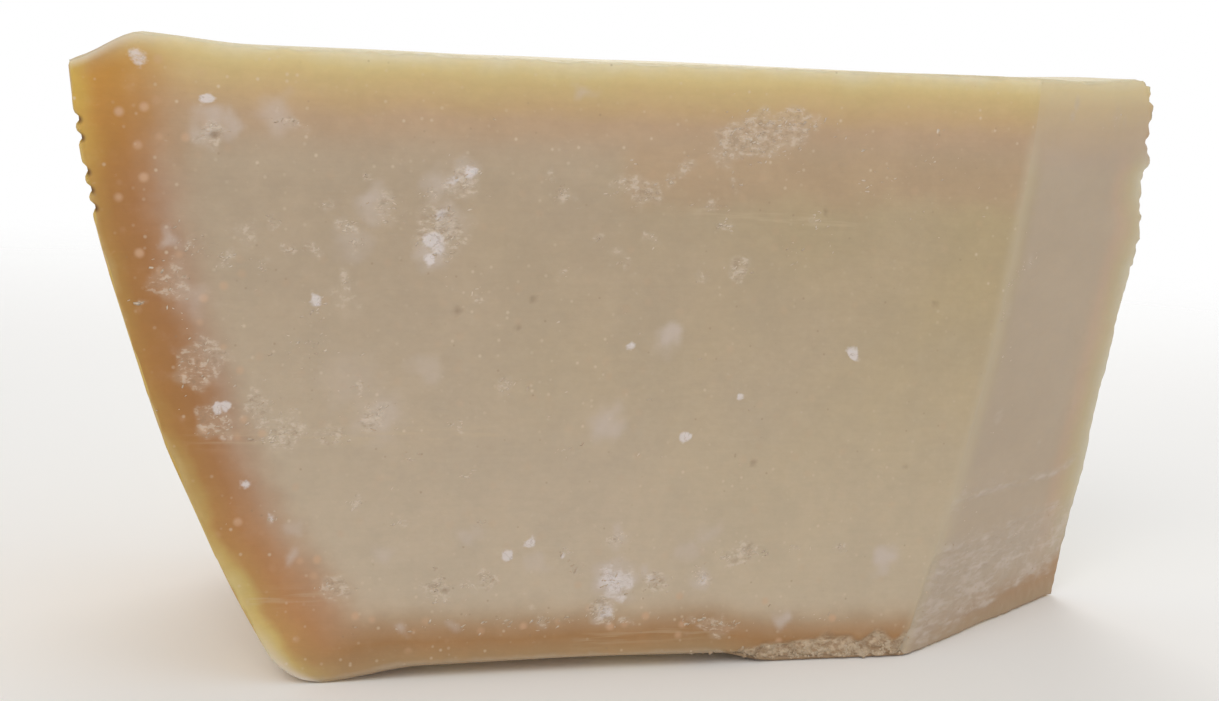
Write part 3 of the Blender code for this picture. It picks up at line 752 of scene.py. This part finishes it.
def cutFace(bench, where):
    footReach = cheese["footReach"] * (1.0 + 0.35 * bench.near(bench.fact("heelDepth"), 0.035))
    colour = pasteColour(bench, where)
    colour, deep = zoneColours(bench, colour, cheese["topStops"], cheese["topReach"], footReach)
    x = bench.axis(where, "X")
    under = bench.fact("topDepth") + (bench.fact("drift") - 0.5) * 0.004
    pink = bench.fade(under, *cheese["pinkTop"]) * (1.0 - bench.fade(under, *cheese["pinkFoot"]))
    pink = pink * bench.fade(x, *cheese["pinkStart"])
    colour = bench.mix(pink * 0.75, colour, tint("pinkBand"))
    grit = bench.noise(bench.stretched(where, (0.8, 1.0, 1.25)), grainSizes["grit"], 3.0, 0.6)
    streaks = bench.noise(bench.stretched(where, (1.0, 1.0, 14.0)), grainSizes["streaks"], 2.0)
    mottle = bench.noise(where, grainSizes["mottle"], 3.0, 0.65)
    colour = tinted(bench, colour, bench.fact("drift"), 0.030)
    colour = tinted(bench, colour, mottle, 0.022)
    colour = tinted(bench, colour, streaks * 0.3 + grit * 0.7, 0.030)

    # small tan specks, most of them near the rind
    specks = bench.specks(where, grainSizes["specks"], (0.08, 0.34), (0.40, 0.80))
    specks = specks * (0.16 + 0.84 * (1.0 - bench.fade(deep, 1.0, 2.3))) * bench.fade(deep, 0.15, 0.5)
    colour = bench.mix(specks * 0.7, colour, tint("speckle"))
    flecks = bench.specks(where, grainSizes["flecks"], (0.06, 0.28), (0.55, 0.95))
    often = bench.fade(bench.fact("drift") + (bench.fact("broad") - 0.5), 0.40, 0.75)
    often = bench.most(often, bench.near(bench.fact("footDepth") + (mottle - 0.5) * 0.02, 0.026))
    flecks = flecks * (0.25 + 0.75 * often)
    colour = bench.mix(flecks * 0.55, colour, tint("fleck"))
    # painted shade: tiny dark pits scattered over the paste
    dots = bench.specks(where, grainSizes["flecks"], (0.05, 0.20), (0.14, 0.06))
    colour = bench.mix(dots * 0.4, colour, tint("shadow"))

    # soft bloom, torn grit, crystals, pinholes and scores, with painted shade in the gaps of the torn grit,
    # the seams of the crystals and the pinholes
    cloud = bench.fact("cloud") * (0.72 + 0.5 * grit)
    colour = bench.mix(cloud, colour, tint("cloud"))
    colour = bench.mix(bench.fade(bench.fact("torn") + (mottle - 0.5) * 0.8, 0.0, 0.7) * 0.30, colour,
                       tint("tornHalo"))
    torn = bench.fade(bench.fact("torn") + (grit - 0.5) * 0.8, 0.22, 0.70)
    # painted shade in the gaps between the torn grit
    colour = bench.mix(torn * bench.fade(grit, 0.47, 0.38) * 0.30, colour, tint("shadow"))
    colour = bench.mix(torn * bench.fade(grit, 0.50, 0.62) * 0.45, colour, tint("grit"))
    crystal = bench.fade(bench.fact("crystal") + (grit - 0.5) * 1.0, 0.15, 0.70)
    colour = bench.mix(crystal * 0.8, colour, tint("crystal"))
    # painted shade in the cracks through the crystal patches
    seamShade = mottle.reckon("ABSOLUTE", mottle - 0.5, 0.0)
    colour = bench.mix(bench.near(seamShade, 0.018) * crystal * 0.35, colour, tint("shadow"))
    # painted shade inside the pinholes
    colour = bench.mix(bench.fact("pit") * 0.6, colour, tint("pit"))
    scored = bench.fact("scored") * bench.fade(streaks, 0.46, 0.62)
    colour = bench.mix(scored * 0.3, colour, tint("score"))

    # the worn ridge with a painted highlight, the crumbled foot in painted light and shade, the pale rim, and
    # painted shade in the heel's nicks
    # painted highlight along the worn ridge
    paleEdge = bench.near(bench.fact("ridgeDepth") + (grit - 0.5) * 0.0008, 0.0022)
    paleEdge = paleEdge * bench.fade(bench.fact("topDepth"), 0.003, 0.014)
    colour = bench.mix(paleEdge * 0.5, colour, tint("ridgeHighlight"))
    lining = bench.near(bench.fact("footDepth") + (mottle - 0.5) * 0.0016, 0.0010)
    colour = bench.mix(lining * (0.35 + 0.5 * grit), colour, tint("footLining"))
    # the crumbled strip in painted light and shade: lit tan grains and shaded gaps between them
    crumbled = bench.fact("crumbled")
    grainy = bench.mix(bench.fade(grit, 0.36, 0.62), tint("crumbGapShade"), tint("crumbTanAndHighlight"))
    colour = bench.mix(crumbled * 0.85, colour, grainy)
    rim = bench.near(bench.fact("heelDepth") + mottle * 0.0010, 0.0036)
    rim = rim * bench.near(bench.fact("footDepth"), 0.0105)
    colour = bench.mix(rim, colour, tint("rimPale"))
    chip = bench.near(bench.fact("topDepth") + grit * 0.0004, 0.0019)
    chip = chip * bench.near(bench.fact("heelDepth"), 0.013)
    colour = bench.mix(chip * 0.85, colour, tint("chipPale"))
    # painted shade in the nicks of the heel's front rim
    z = bench.axis(where, "Z")
    shade = pinShade(bench, bench.fact("arc"), z, bench.fact("heelDepth"))
    colour = bench.mix(shade * 0.9, colour, tint("pinBrownAndShade"))

    height = (grit - 0.5) * (0.00003 + torn * 0.00024 + crumbled * 0.0005 + crystal * 0.00012)
    height = height + (streaks - 0.5) * 0.00002
    rough = 0.44 + 0.25 * grit + 0.12 * torn
    return waxy(bench, colour, rough, height, "pasteGlow")


def endFace(bench, where):
    share, ridge = bench.fact("share"), bench.fact("ridgeDepth")
    z = bench.axis(where, "Z")
    nearRidge = bench.near(ridge, 0.0055)
    paste = pasteColour(bench, where)
    colour = bench.mix(0.85 - nearRidge * 0.6, paste, tint("pasteEnd"))
    drift = (bench.fact("drift") - 0.5) * 0.0035
    deep = (bench.fact("backDepth") + drift) / cheese["backReach"]
    colour = bench.mix(1.0 - bench.fade(deep, 0.6, 1.0), colour, bench.ramp(deep, cheese["backStops"]))
    colour, deep = zoneColours(bench, colour, cheese["endTopStops"], cheese["topReach"],
                               cheese["endFootReach"] + share * 0.0030)
    spread = bench.stretched(where, (0.33, 0.33, 1.0))
    grit = bench.noise(spread, grainSizes["endGrit"], 3.0, 0.6)
    lumps = bench.noise(spread, grainSizes["lumps"], 2.0, 0.6)
    colour = tinted(bench, colour, bench.fact("drift"), 0.022)
    colour = tinted(bench, colour, grit, 0.022)

    # granular bloom low down, along the cracks and in clouds
    low = bench.fact("footDepth") - share * 0.0058 + (lumps - 0.5) * 0.008
    low = bench.fade(low, -0.0010, 0.0022) * (1.0 - bench.fade(z + (lumps - 0.5) * 0.010, 0.013, 0.020))
    crack = bench.fact("crack") * (1.0 - bench.fade(share, 0.80, 0.98)) * bench.fade(lumps, 0.34, 0.56)
    frost = bench.most(low, bench.most(bench.fact("cloud"), crack * 0.9))
    footPaste = bench.near(bench.fact("footDepth"), 0.014) * (0.75 - share * 0.4)
    colour = bench.mix(footPaste, colour, tint("pasteEnd"))
    colour = bench.mix(frost * 0.5, colour, tint("frost"))
    grainy = frost * bench.fade(grit * 0.6 + lumps * 0.6, 0.54, 0.78)
    colour = bench.mix(grainy * 0.55, colour, tint("frostGrain"))
    # painted highlight along the worn ridge
    paleEdge = bench.near(ridge + (grit - 0.5) * 0.0008, 0.0030)
    paleEdge = paleEdge * bench.fade(bench.fact("topDepth"), 0.003, 0.014)
    colour = bench.mix(paleEdge * 0.5, colour, tint("ridgeHighlight"))

    height = (grit - 0.5) * (0.00003 + frost * 0.00016) + lumps * frost * 0.00014
    return waxy(bench, colour, 0.50 + 0.22 * grit, height, "pasteGlow")


def pinShade(bench, arc, z, heelDepth):  # the rind's brown with painted shade, in and round each pin mark
    shade = 0.0
    for foot, rows, shift in pins["bands"]:
        column = (arc - shift) / pins["pitchArc"]
        row = (z - foot) / pins["pitchZ"]
        nearestColumn = column.reckon("ROUND", column, 0.0)
        nearestRow = row.reckon("ROUND", row, 0.0)
        inBlock = nearestColumn.reckon("FLOORED_MODULO", nearestColumn, float(pins["block"]))
        marked = inBlock.reckon("LESS_THAN", inBlock, pins["marked"] - 0.5)
        marked = marked * row.reckon("GREATER_THAN", nearestRow, -0.5)
        marked = marked * row.reckon("LESS_THAN", nearestRow, rows - 0.5)
        away = {"X": (column - nearestColumn) * pins["pitchArc"], "Y": (row - nearestRow) * pins["pitchZ"],
                "Z": heelDepth}
        away = bench.add("ShaderNodeCombineXYZ", {}, away)
        away = bench.add("ShaderNodeVectorMath", {"operation": "LENGTH"}, {0: away}, "Value")
        spot = marked * (1.0 - bench.fade(away, 0.25 * pins["radius"], 1.0 * pins["radius"]))
        shade = bench.most(spot, shade)
    return shade


def rindAndSkin(bench, where):  # heel, foot, upper cut and back
    drift, broad = bench.fact("drift"), bench.fact("broad")
    fine = bench.noise(where, grainSizes["skinFine"], 5.0, 0.65)
    onRind = bench.most(bench.fact("onHeel"), bench.fact("onFoot"))
    rind = bench.mix(bench.fade(drift, 0.3, 0.7), tint("rindAmber"), tint("rindGold"))
    brown = bench.fade(broad + (fine - 0.5) * 0.6, 0.50, 0.85)
    rind = bench.mix(brown * 0.6, rind, tint("rindBrown"))
    rind = bench.mix(bench.near(bench.fact("arc"), 0.0018) * 0.8, rind, tint("cornerYellow"))
    patchy = bench.fade(drift * 0.35 + fine * 0.4 + broad * 0.25, 0.30, 0.75)
    skin = bench.mix(patchy, tint("skinYellow"), tint("skinTan"))
    skin, deep = zoneColours(bench, skin, cheese["skinStops"], cheese["skinReach"], cheese["footReach"])
    specks = bench.specks(where, grainSizes["skinSpecks"], (0.10, 0.32), (0.50, 0.90))
    skin = bench.mix(specks * 0.45, skin, tint("crystal"))
    colour = bench.mix(onRind, skin, rind)
    colour = tinted(bench, colour, fine, 0.07)
    paleEdge = bench.near(bench.fact("heelDepth") + (drift - 0.5) * 0.006, 0.012)
    paleEdge = paleEdge * bench.near(bench.fact("topDepth") + (fine - 0.5) * 0.0010, 0.0014)
    colour = bench.mix(paleEdge * 0.5, colour, tint("chipPale"))
    # painted shade in the pin dents, over the rind's brown
    z = bench.axis(where, "Z")
    shade = pinShade(bench, bench.fact("arc"), z, bench.fact("heelDepth") * 0.5)
    colour = bench.mix(shade * onRind * 0.8, colour, tint("pinBrownAndShade"))
    # painted shade on the foot under the crumbled strip
    colour = bench.mix(bench.fact("crumbled"), colour, tint("crumbGapShade"))
    height = (fine - 0.5) * 0.0006 - shade * onRind * 0.0004
    return waxy(bench, colour, 0.40 + 0.3 * fine, height, "rindGlow")


# Flakes and crumbs: one small template, set many times into one mesh

def template(rounds):
    ball = bmesh.new()
    bmesh.ops.create_icosphere(ball, subdivisions=rounds, radius=1.0)
    corners = [vertex.co.copy() for vertex in ball.verts]
    faces = [tuple(vertex.index for vertex in face.verts) for face in ball.faces]
    ball.free()
    return corners, faces


def scatterPiece(name, settings, placesOf, material):
    draw = random.Random(settings["seed"])
    corners, faces = template(settings["rounds"])
    points, polygons = [], []
    for spot, normal, size, turn in placesOf(settings, draw):
        length = size * draw.uniform(0.7, 1.3)
        width = length * draw.uniform(*settings["slimness"])
        thick = length * draw.uniform(*settings["thickness"])
        upright = Vector((0.0, 0.0, 1.0)) if abs(normal.z) < 0.9 else Vector((1.0, 0.0, 0.0))
        side = upright.cross(normal).normalized()
        over = normal.cross(side)
        frameOf = Matrix((side, over, normal)).transposed() @ Matrix.Rotation(turn, 3, "Z")
        shift = draw.uniform(0.0, 900.0)
        start = len(points)
        for corner in corners:
            swell = 1.0 + settings["rough"] * noise.noise(corner * 1.3 + Vector((shift, 0.0, 0.0)))
            local = Vector((corner.x * length, corner.y * width, corner.z * thick)) * 0.5 * swell
            points.append(spot + frameOf @ local - normal * thick * settings["sunk"])
        polygons.extend(tuple(start + index for index in face) for face in faces)
    mesh = bpy.data.meshes.new(name)
    mesh.from_pydata(points, [], polygons)
    mesh.shade_smooth()
    mesh.materials.append(material)
    piece = bpy.data.objects.new(name, mesh)
    bpy.context.scene.collection.objects.link(piece)
    print(name, "has", len(polygons), "triangles")
    return piece


def onFront(tree, u, z):  # where a line from the front meets the cheese
    start = Vector((u - chunk["originU"], -chunk["originV"] - 0.02, z))
    spot, normal, index, distance = tree.ray_cast(start, Vector((0.0, 1.0, 0.0)), 0.05)
    return (spot, normal) if spot is not None else None


flakes = {
    "seed": 11, "rounds": 1, "slimness": (0.20, 0.45), "thickness": (0.06, 0.14), "rough": 0.6, "sunk": 0.20,
    "size": (0.0003, 0.0010), "slant": math.radians(26.0), "scatter": math.radians(26.0),
    "groupShare": 0.7, "endSpread": 15.0, "endSize": 0.7, "endTurn": (-0.4, 1.0),
    "pale": (210, 192, 170), "tan": (188, 164, 138),
    # (u, z, half width, half height, count)
    "groups": [
        (0.0646, 0.0802, 0.0046, 0.0022, 90), (0.0696, 0.0816, 0.0040, 0.0014, 60),
        (0.0606, 0.0782, 0.0040, 0.0018, 50), (0.0473, 0.0711, 0.0022, 0.0014, 26),
        (0.0440, 0.0723, 0.0016, 0.0022, 16), (0.0524, 0.0751, 0.0012, 0.0008, 6),
        (0.0666, 0.0767, 0.0050, 0.0030, 18), (0.0617, 0.0602, 0.0022, 0.0010, 16),
        (0.0592, 0.0667, 0.0008, 0.0008, 5), (0.0350, 0.0705, 0.0010, 0.0006, 6),
        (0.0182, 0.0655, 0.0024, 0.0040, 60), (0.0097, 0.0676, 0.0022, 0.0016, 22),
        (0.0211, 0.0718, 0.0020, 0.0030, 24), (-0.0150, 0.0466, 0.0030, 0.0030, 30),
        (-0.0122, 0.0371, 0.0020, 0.0018, 14), (-0.0060, 0.0396, 0.0024, 0.0022, 22),
        (-0.0020, 0.0361, 0.0040, 0.0007, 20), (0.0050, 0.0364, 0.0030, 0.0005, 12),
        (0.0097, 0.0387, 0.0026, 0.0012, 24), (-0.0132, 0.0775, 0.0016, 0.0008, 12),
        (-0.0030, 0.0787, 0.0022, 0.0008, 14), (0.0046, 0.0138, 0.0026, 0.0006, 16),
        (0.0193, 0.0131, 0.0013, 0.0022, 22), (0.0264, 0.0145, 0.0007, 0.0014, 8),
        (0.0457, 0.0138, 0.0026, 0.0026, 26), (0.0440, 0.0090, 0.0018, 0.0010, 14),
        (0.0517, 0.0138, 0.0018, 0.0018, 14), (0.0592, 0.0136, 0.0012, 0.0014, 12),
        (0.0655, 0.0175, 0.0030, 0.0008, 24), (0.0617, 0.0064, 0.0034, 0.0004, 14),
        (-0.0180, 0.0579, 0.0016, 0.0040, 24), (0.0010, 0.0539, 0.0016, 0.0016, 12),
        (0.0350, 0.0079, 0.0280, 0.0010, 44), (0.0900, 0.0699, 0.0100, 0.0100, 14),
        (0.0300, 0.0399, 0.0450, 0.0280, 60),
    ] + [flakeGroup(*cluster) for cluster in clusters],
    # glints on the broken end, as (share of its width, z, spread, count)
    "endGroups": [
        (0.160, 0.0629, 0.0004, 3), (0.121, 0.0616, 0.0005, 4), (0.075, 0.0610, 0.0007, 6),
        (0.045, 0.0603, 0.0006, 6), (0.020, 0.0592, 0.0008, 6), (0.020, 0.0552, 0.0018, 8),
        (0.115, 0.0486, 0.0006, 3), (0.069, 0.0473, 0.0006, 4), (0.521, 0.0821, 0.0003, 2),
        (0.640, 0.0846, 0.0016, 6), (0.030, 0.0656, 0.0010, 3), (0.160, 0.0375, 0.0016, 4),
        (0.100, 0.0245, 0.0014, 8), (0.200, 0.0168, 0.0020, 10), (0.550, 0.0165, 0.0016, 8),
    ],
}


def onEnd(tree, share, z):  # where a line towards the broken end meets it
    outwards = Vector(chunk["endOutwards"]).normalized()
    spot = chunkPoint(1.0, share, z / chunk["height"]) - Vector((chunk["originU"], chunk["originV"], 0.0))
    hit, normal, index, distance = tree.ray_cast(spot + outwards * 0.01, -outwards, 0.02)
    return (hit, normal) if hit is not None else None


def flakePlaces(settings, draw):
    for u, z, wide, high, count in settings["groups"]:
        for turn in range(count):
            found = onFront(bodyTree, draw.gauss(u, wide * settings["groupShare"]),
                            draw.gauss(z, high * settings["groupShare"]))
            size = draw.uniform(*settings["size"]) * draw.uniform(0.6, 1.0)
            angle = settings["slant"] + draw.gauss(0.0, settings["scatter"])
            if found and found[1].y < -0.5:
                yield found[0], found[1], size, angle
    for share, z, spread, count in settings["endGroups"]:
        for turn in range(count):
            across = max(0.01, share + draw.gauss(0.0, settings["endSpread"] * spread))
            found = onEnd(bodyTree, across, draw.gauss(z, spread))
            if found:
                size = settings["endSize"] * draw.uniform(*settings["size"])
                yield found[0], found[1], size, draw.uniform(*settings["endTurn"])


crumbs = {
    "seed": 23, "rounds": 2, "slimness": (0.6, 0.95), "thickness": (0.35, 0.6), "rough": 0.8, "sunk": 0.42,
    "size": (0.0005, 0.0013), "stripU": (0.056, 0.0935), "stripZ": (0.0003, 0.0024), "stripCount": 260,
    "endCount": 110, "endZ": (0.0015, 0.018), "stripSize": 0.8, "endSize": 0.45,
    "pale": (198, 178, 152), "tan": (164, 138, 110),
}


def crumbPlaces(settings, draw):
    for turn in range(settings["stripCount"]):
        u = draw.uniform(*settings["stripU"])
        found = onFront(bodyTree, u, draw.uniform(*settings["stripZ"]))
        if found:
            size = draw.uniform(*settings["size"]) * settings["stripSize"]
            yield found[0], found[1], size, draw.uniform(0.0, math.tau)
    for turn in range(settings["endCount"]):
        z = settings["endZ"][0] + (settings["endZ"][1] - settings["endZ"][0]) * draw.random() ** 1.4
        found = onEnd(bodyTree, draw.random() ** 1.3, z)
        if found:
            size = draw.uniform(*settings["size"]) * settings["endSize"]
            yield found[0], found[1], size, draw.uniform(0.0, math.tau)


def looseGrain(bench, where, pale, tan):
    tone = bench.fade(bench.noise(where, 0.0030, 1.0), 0.35, 0.65)
    grain = bench.noise(where, 0.0005, 1.0)
    colour = tinted(bench, bench.mix(tone, screen(*tan), screen(*pale)), grain, 0.06)
    return {"Base Color": colour, "Roughness": 0.5 + 0.2 * grain, "Normal": bench.bumped(grain * 0.00006),
            "Subsurface Weight": 0.15, "Subsurface Radius": (1.0, 0.7, 0.45), "Subsurface Scale": 0.001}


# The pieces

body, bodyTree = makeChunk()
for name, build in (("cutPaste", cutFace), ("brokenPaste", endFace), ("rindAndSkin", rindAndSkin)):
    body.data.materials.append(newMaterial(name, build))

flakeCream = newMaterial("flakeCream", looseGrain, flakes["pale"], flakes["tan"])
flakePiece = scatterPiece("tornFlakes", flakes, flakePlaces, flakeCream)
crumbPaste = newMaterial("crumbPaste", looseGrain, crumbs["pale"], crumbs["tan"])
crumbPiece = scatterPiece("looseCrumbs", crumbs, crumbPlaces, crumbPaste)

for piece in (body, flakePiece, crumbPiece):
    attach(piece, "root")
    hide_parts("parmesan_chunk")


# Floor, light and camera

stage = {"floorSize": 1.6, "floorColour": (248, 247, 245), "solid": 0.22, "gone": 0.62,
         "floorDrop": 0.0002, "horizon": 1.0, "zenith": 0.54, "rise": (0.22, 0.60)}


def paleFloor(bench, where):
    tone = bench.noise(where, 0.05, 2.0)
    away = bench.add("ShaderNodeVectorMath", {"operation": "LENGTH"}, {0: where}, "Value")
    colour = bench.mix(tone * 0.1, screen(*stage["floorColour"]), (1.0, 1.0, 1.0, 1.0))
    return {"Base Color": colour, "Roughness": 0.85, "Specular IOR Level": 0.2,
            "Alpha": 1.0 - bench.fade(away, stage["solid"], stage["gone"])}


def makeFloor():
    plate = bmesh.new()
    bmesh.ops.create_grid(plate, x_segments=8, y_segments=8, size=stage["floorSize"] / 2)
    mesh = bpy.data.meshes.new("floor")
    plate.to_mesh(mesh)
    plate.free()
    mesh.materials.append(newMaterial("paleFloor", paleFloor))
    floor = bpy.data.objects.new("floor", mesh)
    floor.location.z = -stage["floorDrop"]
    bpy.context.scene.collection.objects.link(floor)


def makeWorld():  # white at eye level, softer overhead
    world = bpy.data.worlds.new("softRoom")
    bpy.context.scene.world = world
    world.use_nodes = True
    bench = Bench(world.node_tree)
    where = bench.add("ShaderNodeTexCoord", {}, {}, "Generated")
    rise = bench.axis(where, "Z")
    strength = bench.add("ShaderNodeMapRange", {}, {
        "Value": rise, "From Min": stage["rise"][0], "From Max": stage["rise"][1],
        "To Min": stage["horizon"], "To Max": stage["zenith"]})
    light = bench.add("ShaderNodeBackground", {}, {"Color": (1.0, 1.0, 1.0, 1.0), "Strength": strength})
    bench.add("ShaderNodeOutputWorld", {}, {"Surface": light})


lights = {  # (place, aim, size, watts, colour)
    "key": ((-0.42, -0.55, 0.62), (0.0, 0.0, 0.045), 0.55, 2.0, (1.0, 0.98, 0.95)),
    "fill": ((0.60, -0.50, 0.30), (0.0, 0.0, 0.045), 0.50, 0.5, (0.97, 0.97, 1.0)),
    "back": ((0.20, 0.60, 0.50), (0.0, 0.0, 0.045), 0.50, 1.6, (1.0, 1.0, 1.0)),
}


def makeLight(name, place, aim, size, watts, colour):
    lamp = bpy.data.lights.new(name, "AREA")
    lamp.shape = "DISK"
    lamp.size = size
    lamp.energy = watts
    lamp.color = colour
    holder = bpy.data.objects.new(name, lamp)
    holder.location = place
    holder.rotation_euler = (Vector(aim) - Vector(place)).to_track_quat("-Z", "Y").to_euler()
    bpy.context.scene.collection.objects.link(holder)


def makeCamera():
    lens = bpy.data.cameras.new("camera")
    lens.lens = view["lens"]
    lens.sensor_width = view["sensor"]
    lens.clip_start = 0.01
    camera = bpy.data.objects.new("camera", lens)
    camera.location = (view["u"] - chunk["originU"], view["v"] - chunk["originV"], view["height"])
    camera.rotation_euler = viewTurn().to_euler()
    bpy.context.scene.collection.objects.link(camera)
    bpy.context.scene.camera = camera


makeFloor()
makeWorld()
for name, facts in lights.items():
    makeLight(name, *facts)
makeCamera()
bpy.context.scene.view_settings.view_transform = "Standard"
print("stage, lights and camera set")
